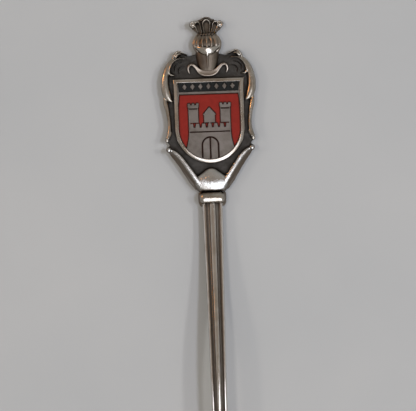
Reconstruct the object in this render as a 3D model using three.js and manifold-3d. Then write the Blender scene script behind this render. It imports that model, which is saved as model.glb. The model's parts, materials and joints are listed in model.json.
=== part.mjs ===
// Souvenir teaspoon with a cast, shield-shaped finial and an enamelled castle badge.
// Millimetres, +Z up. The spoon lies face up: the finial points to +Y, the bowl to -Y, and the
// flat back of the finial and the lowest point of the bowl both touch Z = 0. The origin is below
// the middle of the spoon. Each named mesh is one separate piece of metal or of fired enamel.
import * as THREE from "three";
import { mergeVertices } from "three/addons/utils/BufferGeometryUtils.js";
import Module from "manifold-3d";

const wasm = await Module();
wasm.setup();

// ---------------------------------------------------------------- driving dimensions
const SPOON_LENGTH = 118;
const SOLDER_GAP = 0.05; // between two soldered pieces
const ENAMEL_GAP = 0.02; // between fired enamel and the walls of its cell

// The finial is drawn about the middle of its shield, which lies at SHIELD_Y on the spoon.
const FINIAL_TOP = 17.95; // top of the plume above the middle of the shield
const SHIELD_Y = SPOON_LENGTH / 2 - FINIAL_TOP;

// Heights above the table.
const PLATE_TOP = 1.2;
const SEAT = PLATE_TOP + SOLDER_GAP; // where everything rests on the back plate
const FRAME_TOP = 2.3; // the leaves at the sides
const SCROLL_TOP = 2.1;
const CURL_TOP = 2.0;
const RIBBON_TOP = 2.2;
const CALYX_TOP = 2.9;
const COLLAR_TOP = 2.9;
const EDGE = 0.15; // width of a chamfer

// The badge, from the middle of the shield.
const SHIELD_HALF = 6.07;
const SHIELD_TOP = 7.1;
const SHIELD_ARC_Y = -1.6; // centre of the round lower end
const RIM = 0.62; // width of the raised rim
const RIM_TOP = 2.35;
const RELIEF_TOP = 2.25; // the castle and the bar under the name panel
const ENAMEL_TOP = 2.2;
const CELL_FLOOR = 1.7;

// The collar and the tongues that meet inside it.
const COLLAR_HALF = 2.27;
const COLLAR_Y = [-14.75, -12.8];
const TONGUE = { half: 1.1, low: 0.45, high: 1.15, length: 0.9 };

// The bowl.
const BOWL = {
  halfLength: 19,
  halfWidth: 12.2,
  rim: 6.2, // height of the rim beside the middle
  lift: 0.4, // how much higher the rim is at the tip and at the neck
  wall: 0.85,
  egg: 0.14, // how much wider the end towards the stem is
  round: 0.75, // 0.5 is an ellipsoid, 1 a paraboloid
};
const BOWL_Y = BOWL.halfLength - SPOON_LENGTH / 2;

// ---------------------------------------------------------------- materials
const metal = (color, roughness) => new THREE.MeshStandardMaterial({ color, roughness, metalness: 1 });
const glaze = (color) => new THREE.MeshStandardMaterial({ color, roughness: 0.18, metalness: 0 });
const SILVER = metal(0xc9c3ba, 0.22);
const BADGE_SILVER = metal(0xb4aea6, 0.42);
const BLACKENED = metal(0x35312e, 0.6);
const RED = glaze(0x9e231b);
const BLUE_BLACK = glaze(0x11171b);
const MAROON = glaze(0x47130f);

// ---------------------------------------------------------------- helpers
// A closed geometry as a solid that can be cut and joined.
function solidOf(geometry) {
  const bare = geometry.index ? geometry.toNonIndexed() : geometry.clone();
  bare.deleteAttribute("normal");
  bare.deleteAttribute("uv");
  const merged = mergeVertices(bare, 1e-4);
  return new wasm.Manifold(
    new wasm.Mesh({
      numProp: 3,
      vertProperties: merged.attributes.position.array,
      triVerts: new Uint32Array(merged.index.array),
    }),
  );
}

function geometryOf(solid) {
  const mesh = solid.getMesh();
  const geometry = new THREE.BufferGeometry();
  geometry.setAttribute("position", new THREE.BufferAttribute(mesh.vertProperties, 3));
  geometry.setIndex(new THREE.BufferAttribute(mesh.triVerts, 1));
  geometry.computeVertexNormals();
  return geometry;
}

function mesh(name, solid, material) {
  const made = new THREE.Mesh(geometryOf(solid), material);
  made.name = name;
  return made;
}

// A closed shape through a list of strokes. A stroke is a smooth run of points, and two strokes
// meet in a corner.
function outline(strokes) {
  const shape = new THREE.Shape();
  shape.moveTo(...strokes[0][0]);
  for (const stroke of strokes) {
    if (stroke.length === 2) shape.lineTo(...stroke[1]);
    else shape.splineThru(stroke.slice(1).map(([x, y]) => new THREE.Vector2(x, y)));
  }
  return shape;
}

const mirrored = (points) => points.map(([x, y]) => [-x, y]).reverse();

// The same for a shape that is symmetric about x = 0, from its right half, top to bottom.
const symmetricOutline = (right) => outline([...right, ...right.map(mirrored).reverse()]);

const polygon = (points) => new THREE.Shape(points.map(([x, y]) => new THREE.Vector2(x, y)));

// A ribbon along a smooth line of [x, y, width] points.
function ribbon(points, steps = 4) {
  const line = new THREE.CatmullRomCurve3(points.map(([x, y, width]) => new THREE.Vector3(x, y, width)));
  const count = steps * (points.length - 1);
  const sides = [[], []];
  for (let i = 0; i <= count; i++) {
    const at = line.getPoint(i / count);
    const along = line.getTangent(i / count);
    const across = new THREE.Vector2(-along.y, along.x).setLength(at.z / 2);
    sides[0].push([at.x + across.x, at.y + across.y]);
    sides[1].unshift([at.x - across.x, at.y - across.y]);
  }
  return polygon([...sides[0], ...sides[1]]);
}

// The solid of a shape between two heights, with both edges chamfered, or grown all round.
function slab(shape, low, high, { chamfer = 0, grow = 0, curveSegments = 2 } = {}) {
  const geometry = new THREE.ExtrudeGeometry(shape, {
    depth: high - low - 2 * chamfer,
    curveSegments,
    bevelEnabled: true,
    bevelSegments: chamfer > 0 ? 1 : 0,
    bevelThickness: chamfer,
    bevelSize: chamfer,
    bevelOffset: grow - chamfer,
  });
  return solidOf(geometry.translate(0, 0, low + chamfer));
}

function box(x, y, z) {
  const geometry = new THREE.BoxGeometry(x[1] - x[0], y[1] - y[0], z[1] - z[0]);
  return solidOf(geometry.translate((x[0] + x[1]) / 2, (y[0] + y[1]) / 2, (z[0] + z[1]) / 2));
}

const union = (solids) => solids.reduce((whole, next) => whole.add(next));

// A ball whose centre is at a height, on a round foot that stands on the back plate.
function knob(x, y, radius, height) {
  const foot = new THREE.CylinderGeometry(radius, radius, height - SEAT, 12).rotateX(Math.PI / 2);
  const ball = new THREE.SphereGeometry(radius, 12, 8).rotateX(Math.PI / 2);
  foot.translate(x, y, (SEAT + height) / 2);
  return solidOf(foot).add(solidOf(ball.translate(x, y, height)));
}

// Everything that lies above the back plate, where flat-backed castings are cut off.
const ABOVE_PLATE = box([-10, 10], [-20, 20], [SEAT, 10]);

// ---------------------------------------------------------------- back plate
// The blackened plate behind the shield, with a tongue that enters the collar.
function backPlate() {
  const plumeEdge = [[0, 17.8], [1.1, 17.5], [2.15, 17.1], [2.7, 16.4], [2.2, 15.7], [1.5, 15.1]];
  const helmetEdge = [[1.5, 15.1], [2.0, 14.3], [2.15, 13.3], [1.95, 12.3], [2.1, 11.5]];
  const curlEdge = [[2.1, 11.5], [3.3, 11.25], [4.2, 11.7], [4.95, 12.1], [5.7, 11.65], [5.95, 10.9]];
  const sideEdge = [
    [5.95, 10.9], [7.2, 9.1], [7.85, 7.8], [8.1, 6.3], [8.0, 4.7], [7.7, 3.5],
    [7.25, 0.9], [7.15, -0.4], [7.25, -1.7], [7.55, -2.8], [7.6, -3.6], [7.15, -4.3],
  ];
  const armEdge = [
    [7.15, -4.3], [7.4, -4.9], [7.4, -5.5], [6.8, -6.3],
    [5.4, -8.2], [4.2, -10.25], [3.2, -11.8], [2.2, -12.7],
  ];
  const foot = [[2.2, -12.7], [0, -12.7]];
  const shape = symmetricOutline([plumeEdge, helmetEdge, curlEdge, sideEdge, armEdge, foot]);
  const plate = slab(shape, 0, PLATE_TOP, { chamfer: EDGE });
  const end = foot[0][1];
  const tongue = box(
    [-TONGUE.half, TONGUE.half],
    [end - TONGUE.length, end + 1],
    [TONGUE.low, TONGUE.high],
  );
  return plate.add(tongue);
}

// ---------------------------------------------------------------- scroll frames
// The right-hand frame: the rim of the upper curl, the C-scroll round the lobe, an upper leaf and
// a lower leaf that ends in a knob. The left-hand one is its mirror image.
function scrollFrame() {
  const curl = ribbon([
    [3.4, 11.3, 0.26], [4.2, 11.75, 0.34], [4.95, 12.1, 0.36], [5.65, 11.7, 0.36], [6.0, 10.9, 0.5],
  ]);
  const scroll = ribbon([
    [4.1, 10.7, 0.2], [5.15, 10.8, 0.3], [6.0, 10.3, 0.36], [6.55, 9.45, 0.4],
    [6.75, 8.6, 0.4], [6.5, 7.95, 0.36], [5.95, 7.8, 0.25],
  ]);
  const leaves = outline([
    [[5.8, 10.9], [6.55, 10.3], [7.35, 9.2], [8.0, 7.9], [8.25, 6.4], [8.15, 4.7], [7.9, 3.5]],
    [
      [7.9, 3.5], [7.7, 2.3], [7.42, 0.95], [7.28, -0.35],
      [7.37, -1.65], [7.72, -2.8], [7.75, -3.6], [7.3, -4.25],
    ],
    [[7.3, -4.25], [6.85, -3.6], [6.68, -2.4], [6.75, -0.6], [6.88, 1.15], [7.0, 2.75]],
    [[7.0, 2.75], [6.35, 3.3]],
    [[6.35, 3.3], [6.62, 4.3], [6.85, 5.95], [6.95, 7.4], [6.85, 8.6], [6.3, 9.8], [5.8, 10.9]],
  ]);
  return union([
    slab(leaves, SEAT, FRAME_TOP, { chamfer: EDGE / 2 }),
    slab(scroll, SEAT, SCROLL_TOP),
    slab(curl, SEAT, CURL_TOP),
    knob(7.42, -3.55, 0.42, FRAME_TOP - 0.1),
  ]);
}

// ---------------------------------------------------------------- ribbon below the helmet
const RIBBON_HALF = [[0, 8.1, 0.95], [0.9, 8.22, 0.9], [1.6, 8.7, 0.7], [2.15, 9.35, 0.42], [2.7, 9.7, 0.34]];
const RIBBON_HOOK = [[3.2, 9.5, 0.3], [3.42, 9.0, 0.28], [3.32, 8.5, 0.24], [3.1, 8.1, 0.2]];

function mantlingRibbon(grow = 0) {
  const right = [...RIBBON_HALF, ...RIBBON_HOOK].map(([x, y, width]) => [x, y, width + 2 * grow]);
  const left = right.slice(1).map(([x, y, width]) => [-x, y, width]).reverse();
  return slab(ribbon([...left, ...right], 3), SEAT, RIBBON_TOP + grow);
}

// ---------------------------------------------------------------- helmet and plume
const HELM = { x: 2.3, y: 1.85, z: 1.9, centre: 13.2 };
const VISOR = { half: 2.2, top: 12.35, bottom: 11.75, beak: 11.1, beakHalf: 0.7, proud: 0.18 };
const FACE_TOP = 4; // above everything on the helmet

// The ball of the helm, grown by a distance.
function helm(grow) {
  const ball = new THREE.SphereGeometry(1, 24, 14).scale(HELM.x + grow, HELM.y + grow, HELM.z + grow);
  return solidOf(ball.translate(0, HELM.centre, SEAT));
}

// A ball-shaped helm on its neck guard, with a brow band that comes to a point in the middle.
// It is cut off flat where it rests on the plate.
function helmet() {
  const neck = new THREE.CylinderGeometry(1.9, 1.0, 3.6, 20).scale(1, 1, 0.75).translate(0, 10.6, SEAT);
  const { half, top, bottom, beak, beakHalf, proud } = VISOR;
  const band = polygon([
    [-half, top], [-half, bottom], [-beakHalf, bottom - 0.1], [0, beak],
    [beakHalf, bottom - 0.1], [half, bottom], [half, top],
  ]);
  const behind = neck.clone().scale(1.05, 1, 1.2);
  const brow = slab(band, SEAT, FACE_TOP).intersect(helm(proud).add(solidOf(behind)));
  return union([helm(0), solidOf(neck), brow])
    .intersect(ABOVE_PLATE)
    .subtract(mantlingRibbon(SOLDER_GAP));
}

// Five ostrich feathers fanned out from one root.
function plume() {
  const root = [0, 15.1];
  const feathers = [
    { turn: 0, length: 2.85, half: 0.72 },
    { turn: 31, length: 2.75, half: 0.7 },
    { turn: 62, length: 3.0, half: 0.62 },
  ];
  const solids = [];
  for (const { turn, length, half } of feathers) {
    for (const side of turn ? [-1, 1] : [1]) {
      const feather = new THREE.SphereGeometry(1, 14, 10).scale(half, length / 2, 1.15);
      feather.translate(0, length / 2, 0).rotateZ(THREE.MathUtils.degToRad(-side * turn));
      solids.push(solidOf(feather.translate(root[0], root[1], SEAT)));
    }
  }
  return union(solids).intersect(ABOVE_PLATE).subtract(helm(SOLDER_GAP));
}

// ---------------------------------------------------------------- calyx
// The bright leaf at the foot: a pointed lobe between two arms that reach up beside the shield.
function calyx() {
  const shape = symmetricOutline([
    [[0, -8.4], [0.9, -8.85], [1.8, -9.55], [2.5, -10.05]],
    [[2.5, -10.05], [3.4, -8.8], [4.3, -7.55], [5.2, -6.4], [6.0, -5.45], [6.7, -5.0]],
    [
      [6.7, -5.0], [7.3, -4.85], [7.6, -5.3], [7.05, -6.25],
      [5.6, -8.2], [4.4, -10.25], [3.4, -11.8], [2.4, -12.7],
    ],
    [[2.4, -12.7], [0, -12.7]],
  ]);
  const knobs = [-1, 1].map((side) => knob(7.1 * side, -5.3, 0.5, CALYX_TOP - 0.3));
  return union([slab(shape, SEAT, CALYX_TOP, { chamfer: 2 * EDGE }), ...knobs]);
}

// ---------------------------------------------------------------- collar
// The block that hides the joint: the plate's tongue and the stem's tongue meet in its slot.
function collar() {
  const depth = COLLAR_Y[1] - COLLAR_Y[0];
  const middle = (COLLAR_Y[0] + COLLAR_Y[1]) / 2;
  const block = new THREE.Shape();
  block.moveTo(-COLLAR_HALF, 0).lineTo(COLLAR_HALF, 0).lineTo(COLLAR_HALF, COLLAR_TOP - 0.9);
  block.absellipse(0, COLLAR_TOP - 0.9, COLLAR_HALF, 0.9, 0, Math.PI, false);
  const body = new THREE.ExtrudeGeometry(block, {
    depth: depth - 2 * EDGE,
    curveSegments: 8,
    bevelSegments: 1,
    bevelThickness: EDGE,
    bevelSize: EDGE,
    bevelOffset: -EDGE,
  });
  body.translate(0, 0, -depth / 2 + EDGE).rotateX(Math.PI / 2).translate(0, middle, 0);
  const slot = box(
    [-TONGUE.half - SOLDER_GAP, TONGUE.half + SOLDER_GAP],
    [COLLAR_Y[0] - 1, COLLAR_Y[1] + 1],
    [TONGUE.low - SOLDER_GAP, TONGUE.high + SOLDER_GAP],
  );
  return solidOf(body).subtract(slot);
}

// ---------------------------------------------------------------- badge
// Outline of the shield, taken in by a distance: a straight top, straight sides and a round end.
function shieldOutline(inset) {
  const half = SHIELD_HALF - inset;
  const shape = new THREE.Shape();
  shape.moveTo(-half, SHIELD_TOP - inset).lineTo(half, SHIELD_TOP - inset).lineTo(half, SHIELD_ARC_Y);
  shape.absarc(0, SHIELD_ARC_Y, half, 0, -Math.PI, true);
  return shape;
}

// The name panel: a dark band above the bar, crossed by a row of seven lozenges.
const PANEL = { top: 6.6, bottom: 4.85, half: 5.4, halfBelow: 5.2 };
const FIELD_TOP = 4.45; // lower edge of the bar
const LOZENGES = { count: 7, pitch: 1.4, halfWidth: 0.4, halfHeight: 0.55 };

function namePanel(low, high, grow) {
  const panel = polygon([
    [-PANEL.half, PANEL.top], [PANEL.half, PANEL.top],
    [PANEL.halfBelow, PANEL.bottom], [-PANEL.halfBelow, PANEL.bottom],
  ]);
  const y = (PANEL.top + PANEL.bottom) / 2;
  const lozenges = [];
  for (let i = 0; i < LOZENGES.count; i++) {
    const x = (i - (LOZENGES.count - 1) / 2) * LOZENGES.pitch;
    const lozenge = polygon([
      [x, y + LOZENGES.halfHeight], [x + LOZENGES.halfWidth, y],
      [x, y - LOZENGES.halfHeight], [x - LOZENGES.halfWidth, y],
    ]);
    lozenges.push(slab(lozenge, low, high, { grow: -grow }));
  }
  return slab(panel, low, high, { grow }).subtract(union(lozenges));
}

// A plain castle: a gabled gatehouse between two towers, on a wall with merlons.
const WALL = { half: 3.65, walk: -0.75, notch: -1.45, string: -2.3 };
const TOWER = { inner: 1.95, outer: 3.65, parapet: 2.1, top: 2.8, overhang: 0.1 };
const NOTCH = { half: 0.27, halfBelow: 0.15, pitch: 1.065 };
const HOUSE = { half: 0.95, eaves: 0.75, ridge: 2.1, overhang: 0.2 };
const COURSE = { height: 0.2, towerY: 1.75, setBack: 0.12 }; // dark lines across towers and wall
const CRENEL = { line: 0.18, halfTower: 0.72, halfHouse: 0.4 };

// The gap between two merlons, centred on x.
const notchPoints = (x) => [
  [x - NOTCH.half, WALL.walk], [x - NOTCH.halfBelow, WALL.notch],
  [x + NOTCH.halfBelow, WALL.notch], [x + NOTCH.half, WALL.walk],
];

// Right half of the castle's skyline, from the ridge of the gatehouse out and down the wall.
function skyline() {
  const { inner, outer, parapet, top, overhang } = TOWER;
  const crenel = 0.3;
  const merlon = (outer - inner + 2 * overhang - 2 * crenel) / 3;
  const points = [
    [0, HOUSE.ridge], [HOUSE.half + HOUSE.overhang, HOUSE.eaves],
    [HOUSE.half, HOUSE.eaves], [HOUSE.half, WALL.walk],
    ...notchPoints(1.5 * NOTCH.pitch), [inner, WALL.walk], [inner, parapet], [inner - overhang, parapet],
  ];
  for (let i = 0, x = inner - overhang; i < 3; i++, x += merlon + crenel) {
    if (i > 0) points.push([x, top - crenel]);
    points.push([x, top], [x + merlon, top]);
    if (i < 2) points.push([x + merlon, top - crenel]);
  }
  points.push([outer + overhang, parapet], [outer, parapet], [outer, WALL.string]);
  points.push([outer + 0.1, -3.4], [outer + 0.45, -4.9]);
  return points;
}

// The red field between the rim, the bar and the castle.
function redFieldShape() {
  const half = SHIELD_HALF - RIM;
  const sky = skyline();
  const foot = sky[sky.length - 1];
  const corner = Math.atan2(foot[1] - SHIELD_ARC_Y, foot[0]); // where the wall meets the rim
  const field = new THREE.Shape();
  field.moveTo(0, FIELD_TOP).lineTo(PANEL.halfBelow, FIELD_TOP);
  field.lineTo(half, FIELD_TOP - 2.5).lineTo(half, SHIELD_ARC_Y);
  field.absarc(0, SHIELD_ARC_Y, half, 0, corner, true);
  for (const [x, y] of [...sky].reverse()) field.lineTo(x, y);
  for (const [x, y] of sky.slice(1)) field.lineTo(-x, y);
  field.absarc(0, SHIELD_ARC_Y, half, Math.PI - corner, Math.PI, true);
  field.lineTo(-half, FIELD_TOP - 2.5).lineTo(-PANEL.halfBelow, FIELD_TOP).lineTo(0, FIELD_TOP);
  return field;
}

// A dark line under a tower or the gatehouse, with one gap between merlons hanging from it.
function crenelShape(x, half) {
  const top = WALL.walk + CRENEL.line;
  const left = [[x - half, top], [x - half, WALL.walk]];
  const right = [[x + half, WALL.walk], [x + half, top]];
  return polygon([...left, ...notchPoints(x), ...right]);
}

// The outline of the gate and the line between its two leaves, as one cell.
const GATE = { half: 1.55, line: 0.28, spring: -4.55 };

function gateShape() {
  const { half, line, spring } = GATE;
  const inner = half - line;
  const bar = line / 2;
  const turn = Math.acos(bar / inner); // where the inner arch meets the middle bar
  const foot = (x) => SHIELD_ARC_Y - Math.sqrt((SHIELD_HALF - RIM) ** 2 - x * x) + 0.12;
  const shape = new THREE.Shape();
  shape.moveTo(-half, foot(half)).lineTo(-half, spring).absarc(0, spring, half, Math.PI, 0, true);
  shape.lineTo(half, foot(half)).lineTo(inner, foot(inner));
  shape.lineTo(inner, spring).absarc(0, spring, inner, 0, turn, false);
  shape.lineTo(bar, foot(bar)).lineTo(-bar, foot(bar));
  shape.lineTo(-bar, spring + inner * Math.sin(turn)).absarc(0, spring, inner, Math.PI - turn, Math.PI, false);
  shape.lineTo(-inner, foot(inner)).lineTo(-half, foot(half));
  return shape;
}

// Every enamel cell of the badge: its name, its colour and its solid between two heights.
function enamelCells() {
  const cells = [{ name: "enamel_name_panel", material: BLUE_BLACK, solid: namePanel }];
  const add = (name, material, shape) => {
    const solid = (low, high, grow) => slab(shape, low, high, { grow, curveSegments: 16 });
    cells.push({ name, material, solid });
  };
  const course = (x, y, half) => {
    const top = y + COURSE.height;
    return polygon([[x - half, y], [x + half, y], [x + half, top], [x - half, top]]);
  };
  const towerX = (TOWER.inner + TOWER.outer) / 2;
  const towerHalf = (TOWER.outer - TOWER.inner) / 2 - COURSE.setBack;
  add("enamel_red_field", RED, redFieldShape());
  add("enamel_gate", MAROON, gateShape());
  add("enamel_wall_line", MAROON, course(0, WALL.string, WALL.half - COURSE.setBack));
  add("enamel_tower_line_left", MAROON, course(-towerX, COURSE.towerY, towerHalf));
  add("enamel_tower_line_right", MAROON, course(towerX, COURSE.towerY, towerHalf));
  [-2.5, -0.5, 0.5, 2.5].forEach((place, i) => {
    const half = Math.abs(place) > 1 ? CRENEL.halfTower : CRENEL.halfHouse;
    add(`enamel_crenel_${i + 1}`, RED, crenelShape(place * NOTCH.pitch, half));
  });
  return cells;
}

// The stamped shield: a raised rim, a bar, the castle in relief and a sunk cell for each enamel.
function badge(cells) {
  const detail = { curveSegments: 16 };
  const field = slab(shieldOutline(RIM), RELIEF_TOP, RIM_TOP + 1, detail);
  const pockets = cells.map(({ solid }) => solid(CELL_FLOOR, RIM_TOP + 1, ENAMEL_GAP));
  const blank = slab(shieldOutline(0), SEAT, RIM_TOP, { chamfer: EDGE, ...detail });
  return blank.subtract(union([field, ...pockets]));
}

// ---------------------------------------------------------------- bowl
// Height of the bowl's outside at a share of the way from its middle to its rim.
const bowlOutside = (share) => BOWL.rim * (1 - (1 - share * share) ** BOWL.round);

// A lathe form squeezed into the egg-shaped plan of the bowl. Each profile point is
// [share of the way to the rim, height, how far the plan is taken in].
function bowlForm(profile, segments) {
  const half = profile.map(([share, height]) => new THREE.Vector2(share, height));
  const form = new THREE.LatheGeometry(half, segments);
  form.rotateX(Math.PI / 2);
  const position = form.attributes.position;
  for (let i = 0; i < position.count; i++) {
    const inset = profile[i % profile.length][2];
    const along = position.getY(i);
    position.setXYZ(
      i,
      position.getX(i) * (BOWL.halfWidth - inset) * (1 + BOWL.egg * along),
      along * (BOWL.halfLength - inset) + BOWL_Y,
      position.getZ(i) + BOWL.lift * along * along,
    );
  }
  return solidOf(form);
}

function bowl() {
  const rings = 9;
  const shares = Array.from({ length: rings + 1 }, (_, i) => Math.sin((i / rings) * (Math.PI / 2)));
  const outside = shares.map((share) => [share, bowlOutside(share), 0]);
  const depth = (BOWL.rim - BOWL.wall) / BOWL.rim;
  const inside = shares.map((share) => [share, BOWL.wall + bowlOutside(share) * depth, BOWL.wall]).reverse();
  return bowlForm([...outside, ...inside], 40);
}

// The bowl's outside carried up as a solid block, to cut its seat into the stem.
function bowlSeat() {
  const shares = [0, 0.25, 0.5, 0.7, 0.85, 0.95, 1];
  const outside = shares.map((share) => [share, bowlOutside(share) - SOLDER_GAP, -SOLDER_GAP]);
  const top = BOWL.rim + 4;
  return bowlForm([...outside, [1, top, -SOLDER_GAP], [0, top, -SOLDER_GAP]], 40);
}

// ---------------------------------------------------------------- stem
// Stations along the stem, from the collar over the arch to the end of the tail under the bowl.
const STEM = [
  { y: SHIELD_Y + COLLAR_Y[0] - SOLDER_GAP, z: 1.35, half: 1.78, thick: 1.05 },
  { y: 19, z: 1.75, half: 1.68, thick: 1.05 },
  { y: 11, z: 2.95, half: 1.54, thick: 1.05 },
  { y: 3, z: 4.35, half: 1.44, thick: 1.03 },
  { y: -5, z: 5.05, half: 1.36, thick: 1.0 },
  { y: -13, z: 4.95, half: 1.3, thick: 1.0 },
  { y: -18.5, z: 4.8, half: 1.36, thick: 1.0 },
  { y: -22, z: 4.35, half: 1.7, thick: 0.95 },
  { y: -25.5, z: 3.0, half: 1.5, thick: 0.8 },
  { y: -29, z: 1.55, half: 1.0, thick: 0.55 },
  { y: -33, z: 0.65, half: 0.45, thick: 0.32 },
];

// The stem's section, one unit to each side: a broad rib between two flutes, and a narrow rib on
// each edge. The back is rounded.
function stemSection() {
  const right = [
    [0, 1], [0.24, 0.93], [0.34, 0.42], [0.6, 0.38], [0.7, 0.76], [0.86, 0.74], [1, 0.3],
    [0.95, -0.35], [0.62, -0.85], [0, -1],
  ];
  return polygon([...right, ...mirrored(right).slice(1, -1)]);
}

// The section drawn along the stations, with its size following them.
function stem() {
  const line = new THREE.CatmullRomCurve3(STEM.map(({ y, z }) => new THREE.Vector3(0, y, z)));
  const size = new THREE.SplineCurve(STEM.map(({ half, thick }) => new THREE.Vector2(half, thick)));
  const steps = 4 * (STEM.length - 1);
  const bar = new THREE.ExtrudeGeometry(stemSection(), { depth: 1, steps, bevelEnabled: false });
  const position = bar.attributes.position;
  for (let i = 0; i < position.count; i++) {
    const t = position.getZ(i);
    const at = line.getPoint(t);
    const along = line.getTangent(t);
    const { x: half, y: thick } = size.getPoint(t);
    const up = position.getY(i) * thick;
    position.setXYZ(i, position.getX(i) * half, at.y + along.z * up, at.z - along.y * up);
  }
  const start = STEM[0].y;
  const tongue = box([-TONGUE.half, TONGUE.half], [start - 1, start + TONGUE.length], [TONGUE.low, TONGUE.high]);
  return solidOf(bar).add(tongue).subtract(bowlSeat());
}

// ---------------------------------------------------------------- assembly
const finial = new THREE.Group();
finial.position.y = SHIELD_Y;
finial.add(mesh("back_plate", backPlate(), BLACKENED));

const frameRight = scrollFrame();
finial.add(mesh("scroll_frame_right", frameRight, SILVER));
finial.add(mesh("scroll_frame_left", frameRight.mirror([1, 0, 0]), SILVER));

finial.add(mesh("helmet", helmet(), SILVER));
finial.add(mesh("plume", plume(), SILVER));
finial.add(mesh("mantling_ribbon", mantlingRibbon(), SILVER));
finial.add(mesh("calyx", calyx(), SILVER));
finial.add(mesh("collar", collar(), SILVER));

const cells = enamelCells();
finial.add(mesh("badge_shield", badge(cells), BADGE_SILVER));
for (const { name, material, solid } of cells) {
  finial.add(mesh(name, solid(CELL_FLOOR + ENAMEL_GAP, ENAMEL_TOP, 0), material));
}

const spoon = new THREE.Group();
spoon.add(finial);
spoon.add(mesh("stem", stem(), SILVER));
spoon.add(mesh("bowl", bowl(), SILVER));

export default spoon;
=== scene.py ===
# %% [markdown]
# # A souvenir spoon with an enamelled shield
#
# The spoon is silver-plated nickel silver. Its finial is a casting: a blackened plate with a helmet,
# feathers, a ribbon, leaves and a calyx in relief, and in the middle sits a stamped shield whose
# sunk cells are filled with fired enamel. This lesson builds the castings, finishes the metal and the
# enamel, and lights the spoon as it lies face up on a pale sheet.
#
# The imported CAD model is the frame. Whatever is made here goes where the CAD node that it stands for
# is, so the first step loads the frame and keeps its box.

# %% Load the frame
import json
import math

import bmesh
import bpy
from mathutils import Matrix, Vector


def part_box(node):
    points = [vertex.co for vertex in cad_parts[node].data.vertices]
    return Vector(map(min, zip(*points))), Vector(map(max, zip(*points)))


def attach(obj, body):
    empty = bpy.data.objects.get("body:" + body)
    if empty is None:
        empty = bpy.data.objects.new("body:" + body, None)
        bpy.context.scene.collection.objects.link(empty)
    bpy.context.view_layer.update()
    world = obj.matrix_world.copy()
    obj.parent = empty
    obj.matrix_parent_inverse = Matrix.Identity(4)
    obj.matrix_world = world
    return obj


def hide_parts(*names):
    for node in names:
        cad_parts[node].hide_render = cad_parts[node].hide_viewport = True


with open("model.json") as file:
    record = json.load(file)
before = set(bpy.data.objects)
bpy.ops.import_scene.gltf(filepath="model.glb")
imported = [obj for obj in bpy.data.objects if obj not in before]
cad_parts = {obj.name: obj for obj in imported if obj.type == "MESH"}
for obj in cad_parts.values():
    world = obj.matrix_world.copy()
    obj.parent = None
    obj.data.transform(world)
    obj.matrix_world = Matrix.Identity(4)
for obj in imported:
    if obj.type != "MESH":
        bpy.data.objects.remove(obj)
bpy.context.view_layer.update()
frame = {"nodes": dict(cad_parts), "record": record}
print("CAD nodes:", len(frame["nodes"]))

# %% [markdown]
# ## Where things are
#
# The relief of the finial is drawn in millimetres about the middle of the shield, with x to the right,
# y towards the feathers and z up from the table, because that is how a die sinker would draw it.
# The shield's own CAD box says where its middle is: its top edge is 7.1 mm above it.

# %% The finial's drawing origin
MM = 0.001
SHIELD_TOP = 7.1
SHIELD_HALF = 6.07
badge_low, badge_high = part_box("badge_shield")
FINIAL = Vector(((badge_low.x + badge_high.x) / 2, badge_high.y - SHIELD_TOP * MM, 0))
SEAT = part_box("mantling_ribbon")[0].z / MM  # top of the back plate, where the relief stands
print(f"middle of the shield: y = {FINIAL.y / MM:.2f} mm, relief stands at z = {SEAT:.2f} mm")

# %% [markdown]
# ## Bars: the one shape that all the relief is made of
#
# Leaves, scrolls, feathers, ribs and arms are all bars that bend and taper. A bar starts as a filled
# circle, and its end face is extruded from station to station, each time moved, turned and
# scaled by one matrix. A station is (x, y, foot, half width, height). Relief has a flat foot, so the
# lower half of the circle is pressed flat first, and a power below one makes its top squarer. A curve
# object with a bevel would do it too, but it can't have a width and a height of its own at each station.


# %% Smooth rows of numbers, and bars
def through(rows, steps):
    """Rows of numbers made finer by a smooth curve that passes through all of them."""
    fine = []
    for i in range(len(rows) - 1):
        a, b, c, d = (rows[max(0, min(len(rows) - 1, i + k))] for k in (-1, 0, 1, 2))
        for step in range(steps):
            t = step / steps
            fine.append([
                0.5 * (
                    2 * q + (r - p) * t
                    + (2 * p - 5 * q + 4 * r - s) * t * t + (3 * q - p - 3 * r + s) * t ** 3
                )
                for p, q, r, s in zip(a, b, c, d)
            ])
    return fine + [list(rows[-1])]


def sweep(bm, end, places):
    """Extrudes the face end from one placing matrix to the next. The face is drawn at the origin.
    The first face stays as the near cap, and the ones between are taken out, so that no wall is left
    inside."""
    bmesh.ops.transform(bm, matrix=places[0], verts=end.verts)
    cap = end
    for here, there in zip(places, places[1:]):
        grown = bmesh.ops.extrude_face_region(bm, geom=[end])["geom"]
        if end != cap:
            bmesh.ops.delete(bm, geom=[end], context="FACES_ONLY")
        end = next(part for part in grown if isinstance(part, bmesh.types.BMFace))
        bmesh.ops.transform(bm, matrix=there @ here.inverted(), verts=end.verts)


def placing(rows):
    """A matrix for each row (x, y, z, half width, height), with its Z axis along the line."""
    spots = [Vector(row[:3]) for row in rows]
    places = []
    for i, row in enumerate(rows):
        along = (spots[min(i + 1, len(rows) - 1)] - spots[max(i - 1, 0)]).normalized()
        side = along.cross(Vector((0, 0, 1))).normalized()
        up = side.cross(along)
        turn = Matrix((side * row[3], up * row[4], along)).transposed().to_4x4()
        places.append(Matrix.Translation(spots[i]) @ turn)
    return places


def bar(bm, stations, sides=14, steps=6, foot=True, squareness=1.0, section=None):
    """A bar along its stations. foot presses its lower half flat, and squareness below one flattens its top.
    A section may be given as points instead, from its left foot over the top to its right foot."""
    if section:
        end = bm.faces.new([bm.verts.new((x, y, 0)) for x, y in section])
    else:
        disc = bmesh.ops.create_circle(bm, cap_ends=True, segments=sides, radius=1)["verts"]
        end = disc[0].link_faces[0]
        if foot:
            for vert in disc:
                vert.co.y = max(vert.co.y, 0) ** squareness
    sweep(bm, end, placing(through(stations, steps)))


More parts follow.
